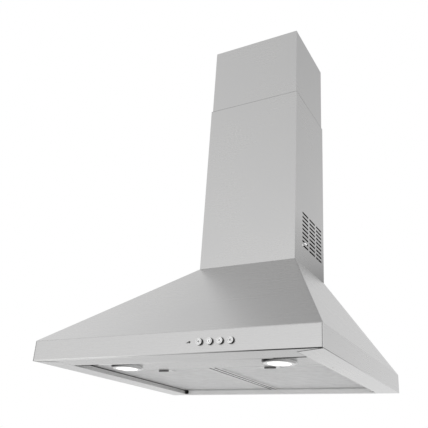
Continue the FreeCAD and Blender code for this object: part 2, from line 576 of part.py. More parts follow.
def flap(sign, segs, others):
    """half disc on knuckles that turn on the pin; sign is the side in y"""
    disc = cyl(COLLAR_R - 4.0, 1.4, (0, COLLAR_Y, PIN_Z - 0.7))
    y0, y1 = (COLLAR_Y + 2.5, COLLAR_Y + 100) if sign > 0 else (COLLAR_Y - 100, COLLAR_Y - 2.5)
    disc = disc.common(box(-100, y0, 0, 100, y1, 900))
    for a, b in others:
        disc = disc.cut(box(a - 0.6, COLLAR_Y - 4.4, 0, b + 0.6, COLLAR_Y + 4.4, 900))
    parts = [disc]
    for a, b in segs:
        parts.append(cyl(3.6, b - a, (a, COLLAR_Y, PIN_Z), (1, 0, 0)))
    f = fuse(parts)
    for a, b in segs:
        f = f.cut(cyl(2.05, b - a + 2, (a - 1, COLLAR_Y, PIN_Z), (1, 0, 0)))
    # stiffening ribs on the upper face
    for x in (-31.0 + sign * 4.0, sign * 4.0, 31.0 + sign * 4.0):
        rib = box(x - 0.8, min(sign * 8, sign * 50) + COLLAR_Y, PIN_Z + 0.5, x + 0.8, max(sign * 8, sign * 50) + COLLAR_Y, PIN_Z + 2.2)
        f = f.fuse(rib)
    f = f.cut(cyl(2.05, 300, (-150, COLLAR_Y, PIN_Z), (1, 0, 0)))
    return f.removeSplitter()


segs_a = [(-62.0, -38.0), (2.0, 26.0)]
segs_b = [(-26.0, -2.0), (38.0, 62.0)]
export("damper_flap_front", flap(-1, segs_a, segs_b))
export("damper_flap_rear", flap(1, segs_b, segs_a))

# ---------------------------------------------------------------------------
# chimney covers
# ---------------------------------------------------------------------------
def cover(x_out, y_front, y_back, z0, z1, lip, r):
    o = box(-x_out, y_front, z0, x_out, y_back, z1)
    o = fillet_if(o, r, lambda e: abs(ends(e)[0].z - ends(e)[1].z) > 50 and abs(ends(e)[0].y - y_front) < 1e-6)
    i = box(-x_out + T, y_front + T, z0 - 1, x_out - T, y_back - T, z1 + 1)
    i = fillet_if(i, max(r - T, 0.3), lambda e: abs(ends(e)[0].z - ends(e)[1].z) > 50 and abs(ends(e)[0].y - y_front - T) < 1e-6)
    gap = box(-x_out + lip, y_back - 5, z0 - 1, x_out - lip, y_back + 2, z1 + 1)
    return o.cut(i).cut(gap)


low = cover(cw, -CH_D, 0.0, CAN_TOP + 0.05, SEAM, 14.0, 1.8)
slots = []
for s in (-1, 1):
    for y0, y1 in VENT_COLS:
        for k in range(VENT_ROWS):
            zc = VENT_Z0 + k * VENT_PITCH
            r = VENT_H / 2.0
            xa = cw - 3 if s > 0 else -cw - 3
            slots.append(fuse([box(xa, y0 + r, zc - r, xa + 6, y1 - r, zc + r),
                               cyl(r, 6, (xa, y0 + r, zc), (1, 0, 0)), cyl(r, 6, (xa, y1 - r, zc), (1, 0, 0))]))
low = low.cut(Part.makeCompound(slots))
export("lower_chimney_cover", low)
ux = cw - T - TELE
up = cover(ux, -CH_D + T + TELE, -UP_BACK, TOP - UP_LEN, TOP, 13.0, 1.6)
export("upper_chimney_cover", up)

# wall brackets: strap against the wall with arms along the cover's sides
def bracket(x_out, yb, z0, z1, arm, t=1.6):
    s = box(-x_out, yb - t, z0, x_out, yb, z1)
    for k in (-1, 1):
        xa, xb = sorted((k * x_out, k * (x_out - t)))
        s = s.fuse(box(xa, yb - arm, z0, xb, yb, z1))
    return s.removeSplitter()


UB0, UB1 = TOP - 34.0, TOP - 8.0
ub = bracket(ux - T - 0.05, -UP_BACK - T - 0.05, UB0, UB1, 46.0)
ub = ub.cut(box(-95, -10, UB0 - 1, 95, 0, UB1 + 1))
ub = ub.fuse(box(-96, -UP_BACK - T - 0.05 - 1.6, UB0, 96, 0.0, UB1).cut(box(-96 + 1.6, -20, UB0 - 1, 96 - 1.6, -1.6, UB1 + 1)))
for s in (-1, 1):
    ub = ub.cut(slot_y(s * 70.0, (UB0 + UB1) / 2, 3.0, 18.0, -6.0, 8.0))
ub = ub.removeSplitter()
export("upper_wall_bracket", ub)
lb = bracket(cw - T - 0.05, -1.2, 281.0, 305.0, 40.0)
for s in (-1, 1):
    lb = lb.cut(cyl(1.7, 6, (s * 90.0, -5, 293.0), (0, 1, 0)))
export("lower_wall_bracket", lb)

# ---------------------------------------------------------------------------
# electrical pieces on the rear panel
# ---------------------------------------------------------------------------
tb = box(176, -33.2, 50, 250, -1.2, 92).cut(box(178, -34, 52, 248, -3.2, 90))
TBS = ((181.6, 86.4), (244.4, 55.6))
for x, z in TBS:
    tb = tb.fuse(cyl(4.0, 30.0, (x, -33.2, z), (0, 1, 0)).common(box(176, -33.2, 50, 250, -1.2, 92)))
# terminal strip standing on the box floor
for k in range(4):
    tb = tb.fuse(box(194 + k * 9, -14, 53, 201 + k * 9, -3.0, 61))
tb = tb.removeSplitter()
tb = tb.cut(cyl(10.05, 6, (215.0, -5, 76.0), (0, 1, 0)))
for x, z in TBS:
    tb = tb.cut(cyl(1.7, 20, (x, -34, z), (0, 1, 0)))
for z in (60.0, 70.0, 80.0):
    tb = tb.cut(cyl(2.05, 12, (170, -18, z), (1, 0, 0)))
export("terminal_box", tb)
tl = box(176, -35.2, 50, 250, -33.2, 92)
tl = fillet_if(tl, 1.0, lambda e: abs(ends(e)[0].y + 35.2) < 1e-6 and abs(ends(e)[1].y + 35.2) < 1e-6)
for x, z in TBS:
    tl = tl.cut(cyl(1.7, 6, (x, -37, z), (0, 1, 0)))
export("terminal_box_lid", tl)
gl = ring(10.0, 4.2, 6.0, (215, -6.2, 76), (0, 1, 0)).fuse(ring(13.0, 4.2, 3.0, (215, -6.2, 76), (0, 1, 0))).removeSplitter()
export("cable_gland", gl)
ld = box(-244, -27.2, 52, -176, -1.2, 84)
ld = fillet_if(ld, 2.0, lambda e: abs(ends(e)[0].y + 27.2) < 1e-6 and abs(ends(e)[1].y + 27.2) < 1e-6)
ld = ld.cut(box(-180, -20, 60, -170, -8, 76))
export("lamp_driver", ld)
mc = cyl(15.0, 58.0, (80.0, -17.6, 130.0), (0, 0, 1))
mc = fillet_if(mc, 1.5, lambda e: isinstance(e.Curve, Part.Circle))
mc = mc.fuse(box(76, -18, 187.5, 78, -14, 194)).fuse(box(82, -18, 187.5, 84, -14, 194))
export("motor_capacitor", mc)
cc = ring(16.4, 15.2, 14.0, (80.0, -17.6, 150.0)).cut(box(72, -40, 140, 88, -30, 170)).fuse(box(64, -2.4, 150, 96, -1.2, 164))
cc = cc.cut(cyl(15.05, 60, (80.0, -17.6, 130.0)))
export("capacitor_clip", cc)

# ---------------------------------------------------------------------------
# wiring held inside the canopy
# ---------------------------------------------------------------------------
export("control_wiring", tube([(101, -D + 33.0, 27), (101, -440, 27), (118, -300, 28), (125, -90, 30), (150, -40, 62), (158, -18, 70), (177.5, -18, 70)], 2.0, 10.0))
export("motor_wiring", tube([(66, FAN_Y, 111), (88, FAN_Y, 111), (112, -80, 100), (150, -30, 84), (158, -18, 80), (177.5, -18, 80)], 2.0, 8.0))
export("lamp_wiring", [
    tube([(-210, -27.7, 60), (-210, -80, 50), (-210, -340, 50), (-LAMP_X, LAMP_Y, 84), (-LAMP_X, LAMP_Y, 46)], 2.0, 10.0),
    tube([(-196, -27.7, 76), (-196, -80, 66), (-140, -280, 56), (110, -300, 56), (LAMP_X, LAMP_Y, 88), (LAMP_X, LAMP_Y, 46)], 2.0, 10.0),
    tube([(177.5, -18, 60), (150, -18, 60), (-140, -14, 68), (-179.5, -14, 68)], 2.0, 10.0)])

# ---------------------------------------------------------------------------
# screws
# ---------------------------------------------------------------------------
export("lamp_panel_screws", [screw((s * 259.0, y, 2.0), (0, 0, -1), 3.2, 2.0, 1.6, 1.8) for s in (-1, 1) for y in (-470.0, -350.0)])
export("switch_block_screws", [screw((x, -D + 5.0, BTN_Z), (0, -1, 0), 3.2, 2.0, 1.6, 3.9) for x in (44.0, 158.0)])
export("blower_fixing_screws",
       [screw((x, y, CAN_TOP + 1.6), (0, 0, -1), length=7.0) for x, y in ((-113, -170), (113, -170), (-113, -40), (113, -40))] +
       [screw((x, y, COLLAR_Z0 + 3.0), (0, 0, -1), length=7.0) for x in (-64.0, 64.0) for y in (-162.0, -28.0)])
export("blower_housing_screws", [screw((6.0, y, z), (-1, 0, 0), length=13.0) for y, z in tabs])
export("motor_mount_screws", [screw((68.0, y, z), (-1, 0, 0), length=10.0) for y, z in mount_pts])
export("wall_bracket_screws", [screw((s * 90.0, -2.8, 293.0), (0, 1, 0), length=2.7) for s in (-1, 1)])
export("terminal_box_screws", [screw((x, -35.2, z), (0, 1, 0), length=14.0) for x, z in TBS])
print(len(done), "nodes")
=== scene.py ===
import bpy
import bmesh
import math
import random
from mathutils import Vector, Matrix


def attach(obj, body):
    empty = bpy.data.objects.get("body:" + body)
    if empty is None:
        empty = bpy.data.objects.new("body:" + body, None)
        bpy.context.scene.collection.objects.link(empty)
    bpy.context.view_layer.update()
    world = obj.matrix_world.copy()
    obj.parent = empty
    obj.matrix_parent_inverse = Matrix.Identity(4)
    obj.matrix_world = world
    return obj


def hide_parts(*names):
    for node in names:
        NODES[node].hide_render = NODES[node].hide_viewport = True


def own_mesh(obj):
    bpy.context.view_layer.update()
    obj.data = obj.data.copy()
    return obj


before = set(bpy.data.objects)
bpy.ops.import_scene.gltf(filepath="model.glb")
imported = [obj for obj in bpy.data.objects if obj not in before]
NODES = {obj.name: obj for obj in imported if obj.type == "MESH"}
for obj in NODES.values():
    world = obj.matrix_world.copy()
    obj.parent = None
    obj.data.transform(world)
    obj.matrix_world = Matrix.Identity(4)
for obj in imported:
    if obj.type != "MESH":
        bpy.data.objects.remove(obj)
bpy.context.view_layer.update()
MM = 0.001
HANG = 388.0          # rim heights are counted from the rim's bottom edge, 388 mm below the origin


def P(x, y, z):
    """rim coordinates in millimetres to the frame in metres"""
    return Vector((x * MM, y * MM, (z - HANG) * MM))


# ---------------------------------------------------------------------------
# camera
# ---------------------------------------------------------------------------
F_PX, YAW, PITCH, ROLL = 583.63, -0.49814, 0.39238, 0.05586
CAM_AT = P(588.6, -1370.94, -179.4)
PPX, PPY = 15.6, 14.6


def make_camera():
    cy, sy, cp, sp = math.cos(YAW), math.sin(YAW), math.cos(PITCH), math.sin(PITCH)
    fwd = Vector((sy * cp, cy * cp, sp))
    right = Vector((cy, -sy, 0))
    up = right.cross(fwd)
    r2 = right * math.cos(ROLL) + up * math.sin(ROLL)
    u2 = -right * math.sin(ROLL) + up * math.cos(ROLL)
    cam = bpy.data.cameras.new("camera")
    cam.sensor_fit = "HORIZONTAL"
    cam.sensor_width = 36.0
    cam.lens = 36.0 * F_PX / 428.0
    cam.shift_x = -PPX / 428.0
    cam.shift_y = PPY / 428.0
    cam.clip_start = 0.05
    cam.clip_end = 60
    ob = bpy.data.objects.new("camera", cam)
    m = Matrix((
        (r2.x, u2.x, -fwd.x, CAM_AT.x),
        (r2.y, u2.y, -fwd.y, CAM_AT.y),
        (r2.z, u2.z, -fwd.z, CAM_AT.z),
        (0, 0, 0, 1)))
    ob.matrix_world = m
    bpy.context.scene.collection.objects.link(ob)
    bpy.context.scene.camera = ob
    return ob


make_camera()


# ---------------------------------------------------------------------------
# node material helpers
# ---------------------------------------------------------------------------
class Net:
    """short hand for building a node tree"""

    def __init__(self, tree):
        self.t = tree
        tree.nodes.clear()

    def n(self, kind, **props):
        node = self.t.nodes.new(kind)
        for k, v in props.items():
            setattr(node, k, v)
        return node

    def put(self, sock, value):
        if isinstance(value, bpy.types.NodeSocket):
            self.t.links.new(value, sock)
        elif value is not None:
            sock.default_value = value

    def math(self, op, a, b=None, c=None, clamp=False):
        m = self.n("ShaderNodeMath", operation=op, use_clamp=clamp)
        self.put(m.inputs[0], a)
        if b is not None:
            self.put(m.inputs[1], b)
        if c is not None:
            self.put(m.inputs[2], c)
        return m.outputs[0]

    def vmath(self, op, a, b=None, out=0):
        m = self.n("ShaderNodeVectorMath", operation=op)
        self.put(m.inputs[0], a)
        if b is not None:
            self.put(m.inputs[1], b)
        return m.outputs["Value"] if op in ("DOT_PRODUCT", "LENGTH", "DISTANCE") else m.outputs[out]

    def mix(self, f, a, b, kind="RGBA", blend="MIX"):
        m = self.n("ShaderNodeMix", data_type=kind)
        if kind == "RGBA":
            m.blend_type = blend
            ia, ib, o = m.inputs[6], m.inputs[7], m.outputs[2]
        elif kind == "VECTOR":
            ia, ib, o = m.inputs[4], m.inputs[5], m.outputs[1]
        else:
            ia, ib, o = m.inputs[2], m.inputs[3], m.outputs[0]
        self.put(m.inputs[0], f)
        self.put(ia, a)
        self.put(ib, b)
        return o

    def ramp(self, f, stops, mode="LINEAR"):
        r = self.n("ShaderNodeValToRGB")
        r.color_ramp.interpolation = mode
        e = r.color_ramp.elements
        while len(e) < len(stops):
            e.new(0.5)
        for i, (p, c) in enumerate(stops):
            e[i].position = p
            e[i].color = c if len(c) == 4 else (*c, 1.0)
        self.put(r.inputs[0], f)
        return r.outputs[0]

    def span(self, v, a0, a1, b0, b1, clamp=True):
        m = self.n("ShaderNodeMapRange", clamp=clamp)
        self.put(m.inputs[0], v)
        for i, q in enumerate((a0, a1, b0, b1)):
            m.inputs[i + 1].default_value = q
        return m.outputs[0]

    def noise(self, vec, scale=5.0, detail=2.0, rough=0.5, distort=0.0):
        m = self.n("ShaderNodeTexNoise")
        self.put(m.inputs["Vector"], vec)
        m.inputs["Scale"].default_value = scale
        m.inputs["Detail"].default_value = detail
        m.inputs["Roughness"].default_value = rough
        m.inputs["Distortion"].default_value = distort
        return m.outputs[0]

    def scaled(self, vec, s, loc=(0, 0, 0), rot=(0, 0, 0)):
        m = self.n("ShaderNodeMapping")
        self.put(m.inputs["Vector"], vec)
        m.inputs["Scale"].default_value = s
        m.inputs["Location"].default_value = loc
        m.inputs["Rotation"].default_value = rot
        return m.outputs[0]

    def bump(self, height, strength=0.1, distance=0.001, normal=None):
        b = self.n("ShaderNodeBump")
        b.inputs["Strength"].default_value = strength
        b.inputs["Distance"].default_value = distance
        self.put(b.inputs["Height"], height)
        if normal is not None:
            self.put(b.inputs["Normal"], normal)
        return b.outputs[0]


def material(name):
    m = bpy.data.materials.new(name)
    m.use_nodes = True
    net = Net(m.node_tree)
    out = net.n("ShaderNodeOutputMaterial")
    bsdf = net.n("ShaderNodeBsdfPrincipled")
    net.t.links.new(bsdf.outputs[0], out.inputs[0])
    return m, net, bsdf


def grey(v, warm=0.0):
    return (v * (1 + warm), v, v * (1 - warm), 1.0)


def two(net, f, a, b):
    """blends two colours by f in 0..1"""
    return net.mix(f, a, b)


def xyz(net, vec):
    s = net.n("ShaderNodeSeparateXYZ")
    net.put(s.inputs[0], vec)
    return s.outputs


def brushed(name, albedo=0.62, rough=0.28, spread=0.03, contrast=0.03, mode="X", aniso=0.6, streak=1.0, tint=0.004, painted_light=None):
    """brushed stainless sheet; mode X, Y or Z is the direction of the grain, AUTO follows the panel's facing"""
    m, net, b = material(name)
    co = net.n("ShaderNodeTexCoord").outputs["Object"]
    geo = net.n("ShaderNodeNewGeometry")

    def grain(axis, fine, long):
        s = {"X": (long, fine, fine), "Y": (fine, long, fine), "Z": (fine, fine, long)}[axis]
        return net.scaled(co, s)

    def streaks(axis):
        a = net.noise(grain(axis, 700.0, 5.0), 1.0, 3.0, 0.55)
        c = net.noise(grain(axis, 2600.0, 22.0), 1.0, 3.0, 0.6)
        return net.math("ADD", net.math("MULTIPLY", a, 0.55), net.math("MULTIPLY", c, 0.45))

    if mode == "AUTO":
        n = xyz(net, geo.outputs["Normal"])
        p = xyz(net, co)
        side = net.math("GREATER_THAN", net.math("ABSOLUTE", n[0]), net.math("ABSOLUTE", n[1]))
        flat = net.math("GREATER_THAN", net.math("ABSOLUTE", n[2]), 0.93)
        edge = net.math("GREATER_THAN", net.math("ABSOLUTE", p[0]), 0.2485)
        pick = net.mix(flat, side, edge, "FLOAT")
        s = net.mix(pick, streaks("X"), streaks("Y"), "FLOAT")
        # across the grain: up the sheet, or in depth on the flat front parts
        cross = net.mix(pick, (0.0, 0.35, 1.0), (0.35, 0.0, 1.0), "VECTOR")
    else:
        s = streaks(mode)
        cross = net.n("ShaderNodeCombineXYZ")
        for i, q in enumerate({"X": (0.0, 0.6, 0.8), "Y": (0.6, 0.0, 0.8), "Z": (0.75, 0.66, 0.0)}[mode]):
            cross.inputs[i].default_value = q
        cross = cross.outputs[0]
    cloud = net.noise(net.scaled(co, (5.0, 5.0, 5.0)), 1.0, 2.0, 0.5)
    f = net.span(s, 0.3, 0.7, 0.0, 1.0)
    lo, hi = albedo * (1 - contrast), albedo * (1 + contrast)
    col = two(net, f, (lo * (1 + tint), lo, lo * (1 - tint), 1), (hi * (1 + tint), hi, hi * (1 - tint), 1))
    col = net.mix(net.span(cloud, 0.3, 0.7, 0.0, 0.5), col, (albedo * 0.97, albedo * 0.97, albedo * 0.975, 1), "RGBA")
    net.put(b.inputs["Base Color"], col)
    b.inputs["Metallic"].default_value = 1.0
    r = net.math("ADD", net.span(s, 0.3, 0.7, rough - spread, rough + spread), net.span(cloud, 0.3, 0.7, -0.01, 0.01))
    net.put(b.inputs["Roughness"], r)
    b.inputs["Anisotropic"].default_value = aniso
    net.put(b.inputs["Tangent"], cross)
    net.put(b.inputs["Normal"], net.bump(s, 0.022 * streak, 0.0001))
    # the optional hook paints light or shade onto the sheet by position and facing
    if painted_light is not None:
        painted_light(net, b, col, r, xyz(net, co), xyz(net, geo.outputs["Normal"]))
    return m


def inside(net, v, a, b, soft=0.00005):
    """1 where v lies between a and b, else 0"""
    up = net.span(v, a - soft, a + soft, 0.0, 1.0)
    dn = net.span(v, b - soft, b + soft, 1.0, 0.0)
    return net.math("MULTIPLY", up, dn)


def times(net, *fs):
    out = fs[0]
    for f in fs[1:]:
        out = net.math("MULTIPLY", out, f)
    return out


def chimney_painted_light(half, front):
    """painted shade: the inner faces carry a dull, dark coat that stands in for the shade inside the chimney; the outer
    ones stay bare brushed steel
    """
    def painted_light(net, b, col, r, p, n):
        ins = times(net, net.math("LESS_THAN", net.math("ABSOLUTE", p[0]), half),
                    net.math("GREATER_THAN", p[1], -front), net.math("LESS_THAN", p[1], -0.0016))
        # the cut edges of the vent slots in the lower cover's sides get the same painted shade
        cut = times(net, net.math("GREATER_THAN", net.math("ABSOLUTE", p[0]), 0.1244), net.math("LESS_THAN", net.math("ABSOLUTE", p[0]), 0.12548),
                    net.math("LESS_THAN", net.math("ABSOLUTE", n[0]), 0.5), net.math("LESS_THAN", p[1], -0.02), net.math("LESS_THAN", p[2], 0.10),
                    net.math("GREATER_THAN", p[1], -0.19))
        ins = net.math("MAXIMUM", ins, cut)
        # painted shade: the sides are painted darker towards the foot, where they stand over the canopy, most near the
        # wall
        foot = times(net, net.math("GREATER_THAN", net.math("ABSOLUTE", n[0]), 0.5), net.span(p[2], 0.01, -0.112, 0.0, 1.0),
                     net.span(p[1], -0.19, -0.01, 0.30, 0.62))
        col = net.mix(foot, col, (0.0, 0.0, 0.0, 1))
        net.put(b.inputs["Base Color"], net.mix(ins, col, (0.032, 0.032, 0.034, 1)))
        net.put(b.inputs["Roughness"], net.mix(ins, r, 0.7, "FLOAT"))
        net.put(b.inputs["Metallic"], net.math("SUBTRACT", 1.0, ins))
    return painted_light


def fascia_painted_light(net, b, col, r, p, n):
    """hem along the bottom edge and the rear edge of the return: painted highlight on the left, painted dark reflection
    towards the right
    """
    low = times(net, inside(net, p[2], -0.3885, -0.3862, 0.0002), net.math("LESS_THAN", p[1], -0.5187))
    hem = times(net, inside(net, p[1], -0.4585, -0.4505, 0.0003), net.math("LESS_THAN", n[2], -0.5))
    # painted dark reflection on the hems, growing towards the right
    dark = net.math("ADD", times(net, low, net.span(p[0], 0.02, 0.20, 0.0, 1.0)),
                    times(net, hem, net.span(p[0], 0.10, 0.25, 0.0, 0.9)), None, True)
    nose = times(net, net.math("LESS_THAN", p[1], -0.5125), net.math("LESS_THAN", n[2], -0.3),
                 net.math("LESS_THAN", p[2], -0.385))
    low_or_nose = net.math("MAXIMUM", low, nose)
    # painted highlight on the bottom hem, the nose and the return's hem, growing towards the left; it is not metallic
    painted_highlight = net.math("ADD", times(net, low_or_nose, net.span(p[0], 0.0, -0.12, 0.0, 1.0)),
                    times(net, hem, net.span(p[0], 0.02, -0.12, 0.0, 1.0)), None, True)
    c = net.mix(painted_highlight, col, (0.95, 0.95, 0.94, 1))
    c = net.mix(dark, c, (0.06, 0.06, 0.06, 1))
    net.put(b.inputs["Base Color"], c)
    net.put(b.inputs["Metallic"], net.math("SUBTRACT", 1.0, net.math("MULTIPLY", painted_highlight, 0.9)))


def canopy_painted_light(net, b, col, r, p, n):
    """painted shade along the bottom outer edge of the side bands, darkest at the front"""
    edge = times(net, net.math("GREATER_THAN", net.math("ABSOLUTE", p[0]), 0.2983),
                 inside(net, p[2], -0.3885, -0.3870, 0.0002), net.span(p[1], -0.515, -0.22, 1.0, 0.0))
    # painted light: the rear rim flange and its upturned lip are painted pale, matt and not metallic
    pale = times(net, net.math("LESS_THAN", p[2], -0.3784), net.math("GREATER_THAN", p[1], -0.0175),
                 net.math("LESS_THAN", net.math("ABSOLUTE", p[0]), 0.249))
    c = net.mix(net.math("MULTIPLY", edge, 0.9), col, (0.07, 0.07, 0.07, 1))
    net.put(b.inputs["Base Color"], net.mix(pale, c, (0.9, 0.9, 0.895, 1)))
    net.put(b.inputs["Metallic"], net.math("SUBTRACT", 1.0, pale))
    net.put(b.inputs["Roughness"], net.mix(pale, r, 0.6, "FLOAT"))


def divider_painted_light(net, b, col, r, p, n):
    """painted shade: the rolled edges of the bar are painted dull and dark"""
    e = times(net, net.span(net.math("ABSOLUTE", p[0]), 0.0045, 0.0049, 0.0, 1.0), net.math("LESS_THAN", p[2], -0.3755))
    net.put(b.inputs["Base Color"], net.mix(e, col, (0.05, 0.05, 0.05, 1)))


def plastic(name, v, rough=0.42, grain=900.0, warm=0.0, metallic=0.0, depth=0.12):
    m, net, b = material(name)
    co = net.n("ShaderNodeTexCoord").outputs["Object"]
    a = net.noise(co, grain, 3.0, 0.6)
    c = net.noise(co, 35.0, 2.0, 0.5)
    col = two(net, net.span(c, 0.3, 0.7, 0, 1), grey(v * 0.9, warm), grey(v * 1.1, warm))
    net.put(b.inputs["Base Color"], col)
    b.inputs["Metallic"].default_value = metallic
    net.put(b.inputs["Roughness"], net.span(a, 0.3, 0.7, rough - 0.06, rough + 0.06))
    net.put(b.inputs["Normal"], net.bump(a, depth, 0.0003))
    return m


def coloured(name, rgb, rough=0.45, grain=700.0, vary=0.08, metallic=0.0, depth=0.1):
    m, net, b = material(name)
    co = net.n("ShaderNodeTexCoord").outputs["Object"]
    a = net.noise(co, grain, 3.0, 0.6)
    c = net.noise(co, 40.0, 2.0, 0.5)
    lo = tuple(q * (1 - vary) for q in rgb) + (1.0,)
    hi = tuple(min(1.0, q * (1 + vary)) for q in rgb) + (1.0,)
    net.put(b.inputs["Base Color"], two(net, net.span(c, 0.3, 0.7, 0, 1), lo, hi))
    b.inputs["Metallic"].default_value = metallic
    net.put(b.inputs["Roughness"], net.span(a, 0.3, 0.7, rough - 0.05, rough + 0.05))
    net.put(b.inputs["Normal"], net.bump(a, depth, 0.0003))
    return m


def galvanised(name, painted_inner_shade=False):
    """zinc coated sheet with its crystal pattern; the flag adds a painted dark layer on the inner face inside the
    chimney, painted shade standing in for the shade there
    """
    m, net, b = material(name)
    co = net.n("ShaderNodeTexCoord").outputs["Object"]
    v = net.n("ShaderNodeTexVoronoi", feature="F1")
    net.put(v.inputs["Vector"], net.vmath("ADD", co, net.scaled(co, (0.2, 0.1, 0.3))))
    v.inputs["Scale"].default_value = 120.0
    tone = xyz(net, v.outputs["Color"])[0]
    dust = net.noise(co, 14.0, 3.0, 0.6)
    col = two(net, tone, grey(0.50, -0.01), grey(0.66, -0.012))
    col = net.mix(net.span(dust, 0.35, 0.75, 0, 0.5), col, grey(0.52, -0.005))
    rough = net.span(tone, 0, 1, 0.36, 0.52)
    fuzz = net.noise(co, 260.0, 3.0, 0.6)
    if painted_inner_shade:
        p = xyz(net, co)
        n = xyz(net, net.n("ShaderNodeNewGeometry").outputs["Normal"])
        # painted shade: near-black on the front face inside the chimney
        f = times(net, net.math("LESS_THAN", n[1], -0.5), net.math("LESS_THAN", net.math("ABSOLUTE", p[0]), 0.1115),
                  net.math("GREATER_THAN", p[2], -0.10))
        col = net.mix(f, col, two(net, fuzz, grey(0.03), grey(0.06)))
        rough = net.mix(f, rough, 0.9, "FLOAT")
        net.put(b.inputs["Metallic"], net.math("SUBTRACT", 1.0, f))
    else:
        b.inputs["Metallic"].default_value = 1.0
    net.put(b.inputs["Base Color"], col)
    net.put(b.inputs["Roughness"], rough)
    net.put(b.inputs["Normal"], net.bump(fuzz, 0.08, 0.0004))
    return m


def polished(name, v, rough=0.16, warm=0.0, fine=1400.0, spread=0.05):
    m, net, b = material(name)
    co = net.n("ShaderNodeTexCoord").outputs["Object"]
    a = net.noise(co, fine, 3.0, 0.6)
    c = net.noise(co, 60.0, 2.0, 0.5)
    net.put(b.inputs["Base Color"], two(net, net.span(c, 0.3, 0.7, 0, 1), grey(v * 0.95, warm), grey(v * 1.04, warm)))
    b.inputs["Metallic"].default_value = 1.0
    net.put(b.inputs["Roughness"], net.span(a, 0.3, 0.7, rough - spread, rough + spread))
    net.put(b.inputs["Normal"], net.bump(a, 0.03, 0.0002))
    return m


def bezel_metal(name):
    """polished ring whose outer wall is painted dark as a reflection, darkest where it faces front-left; its lower face
    bright
    """
    m, net, b = material(name)
    co = net.n("ShaderNodeTexCoord").outputs["Object"]
    a = net.noise(co, 1500.0, 3.0, 0.6)
    p = xyz(net, co)
    dx = net.math("SUBTRACT", net.math("ABSOLUTE", p[0]), 0.170)
    dy = net.math("ADD", p[1], 0.385)
    rad = net.math("SQRT", net.math("ADD", net.math("MULTIPLY", dx, dx), net.math("MULTIPLY", dy, dy)))
    # painted dark reflection on the outer wall, weighted by how far the wall faces front-left
    wall = net.span(rad, 0.0287, 0.0300, 0.0, 1.0)
    n = net.n("ShaderNodeNewGeometry").outputs["Normal"]
    turn = net.span(net.vmath("DOT_PRODUCT", n, (-0.80, -0.60, 0.0)), -0.15, 0.80, 0.15, 1.0)
    f = net.math("MULTIPLY", wall, turn)
    col = two(net, net.span(a, 0.3, 0.7, 0, 1), grey(0.60), grey(0.68))
    net.put(b.inputs["Base Color"], net.mix(f, col, (0.012, 0.012, 0.013, 1)))
    b.inputs["Metallic"].default_value = 1.0
    net.put(b.inputs["Roughness"], net.span(a, 0.3, 0.7, 0.16, 0.26))
    net.put(b.inputs["Normal"], net.bump(a, 0.03, 0.0002))
    return m


def button_metal(name):
    """satin cap with a spun face; the side wall is painted near-black as a dark reflection"""
    m, net, b = material(name)
    co = net.n("ShaderNodeTexCoord").outputs["Object"]
    a = net.noise(co, 1500.0, 3.0, 0.6)
    c = net.noise(co, 300.0, 2.0, 0.5)
    n = xyz(net, net.n("ShaderNodeNewGeometry").outputs["Normal"])
    front = net.span(n[1], -0.35, -0.60, 0.0, 1.0)
    p = xyz(net, co)
    pit = net.math("GREATER_THAN", p[1], -0.52395)
    col = two(net, net.span(c, 0.3, 0.7, 0, 1), grey(0.88), grey(0.96))
    col = net.mix(net.math("MULTIPLY", pit, front), col, grey(0.62))
    # painted dark reflection: the side wall is near-black and not metallic
    net.put(b.inputs["Base Color"], net.mix(front, grey(0.018), col))
    net.put(b.inputs["Metallic"], net.span(front, 0, 1, 0.0, 1.0))
    net.put(b.inputs["Roughness"], net.span(a, 0.3, 0.7, 0.26, 0.36))
    net.put(b.inputs["Normal"], net.bump(a, 0.05, 0.0002))
    return m


MAT = {}
MAT["stainless_canopy"] = brushed("mat_canopy_steel", mode="AUTO", contrast=0.02, streak=0.6, spread=0.02, painted_light=canopy_painted_light)
MAT["fascia"] = brushed("mat_fascia_steel", mode="X", contrast=0.04, streak=0.9, painted_light=fascia_painted_light)
MAT["panel"] = brushed("mat_panel_steel", mode="X", contrast=0.02, streak=0.6)
MAT["divider"] = brushed("mat_divider_steel", mode="Y", painted_light=divider_painted_light)
MAT["stainless_chimney"] = brushed("mat_chimney_steel", mode="AUTO", contrast=0.004, streak=0.08, spread=0.008,
                                   painted_light=chimney_painted_light(0.12484, 0.19984))
MAT["chimney_upper"] = brushed("mat_upper_cover_steel", mode="AUTO", contrast=0.004, streak=0.08, spread=0.008,
                               painted_light=chimney_painted_light(0.1224, 0.1974))
MAT["galvanised"] = galvanised("mat_galvanised")
MAT["rear"] = galvanised("mat_rear_panel", painted_inner_shade=True)
MAT["filter_alu"] = brushed("mat_filter_alu", albedo=0.78, rough=0.36, mode="X", contrast=0.02, aniso=0.3)
MAT["filter_mesh"] = polished("mat_filter_mesh", 0.95, 0.38)
MAT["latch_plastic"] = plastic("mat_latch_plastic", 0.11, 0.38)
MAT["spring_steel"] = polished("mat_spring_steel", 0.55, 0.22)
MAT["bezel_metal"] = bezel_metal("mat_bezel_metal")
MAT["lamp_can"] = polished("mat_lamp_can", 0.7, 0.4)
MAT["circuit_board"] = coloured("mat_circuit_board", (0.03, 0.16, 0.07), 0.4)
MAT["led_board"] = coloured("mat_led_board", (0.75, 0.75, 0.72), 0.4)
MAT["button_chrome"] = button_metal("mat_button_chrome")
MAT["indicator"] = coloured("mat_indicator", (0.035, 0.03, 0.03), 0.16)
MAT["black_plastic"] = plastic("mat_black_plastic", 0.028, 0.45)
MAT["grey_plastic"] = plastic("mat_grey_plastic", 0.42, 0.4)
MAT["motor_steel"] = polished("mat_motor_steel", 0.42, 0.36)
MAT["shaft_steel"] = polished("mat_shaft_steel", 0.6, 0.2)
MAT["wheel_plastic"] = plastic("mat_wheel_plastic", 0.2, 0.4)
